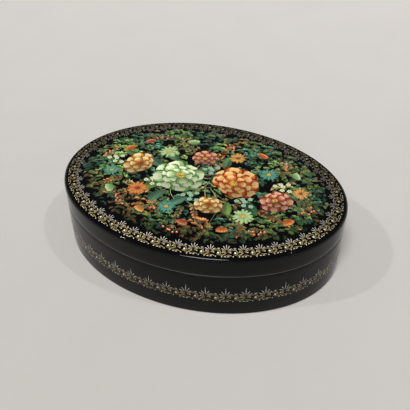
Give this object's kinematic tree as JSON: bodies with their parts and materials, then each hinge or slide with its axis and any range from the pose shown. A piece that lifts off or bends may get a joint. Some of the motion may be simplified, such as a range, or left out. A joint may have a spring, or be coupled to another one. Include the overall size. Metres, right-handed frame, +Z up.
{
  "type": "oval lacquer box",
  "caption": "Low oval lacquered papier-mache box with a domed lid on a concealed back hinge, painted ornament borders and a red inside.",
  "frame": {"origin": "under the middle of the box, on the surface it stands on", "axes": "+X along the oval, +Y towards the hinge at the back, +Z up; the front is -Y"},
  "size_m": [0.14, 0.103, 0.0353],
  "materials": {
    "black_lacquer": "gloss black lacquer over papier-mache",
    "red_lacquer": "satin cinnabar red lacquer",
    "brass": "drawn brass, slightly dulled",
    "steel_pin": "plain steel wire"
  },
  "bodies": {
    "box": {"body_wall": "black_lacquer", "base_panel": "red_lacquer", "locating_collar": "red_lacquer", "body_hinge_leaf": "brass", "hinge_pin": "steel_pin", "body_leaf_nails": "brass"},
    "lid": {"lid_wall": "black_lacquer", "lid_panel": "black_lacquer", "lid_hinge_leaf": "brass", "lid_leaf_nails": "brass"}
  },
  "joints": [
    {"name": "lid_hinge", "type": "hinge", "parent": "box", "child": "lid", "pos_m": [0, 0.0496, 0.024], "axis": [-1, 0, 0], "range_deg": [0, 100]}
  ]
}
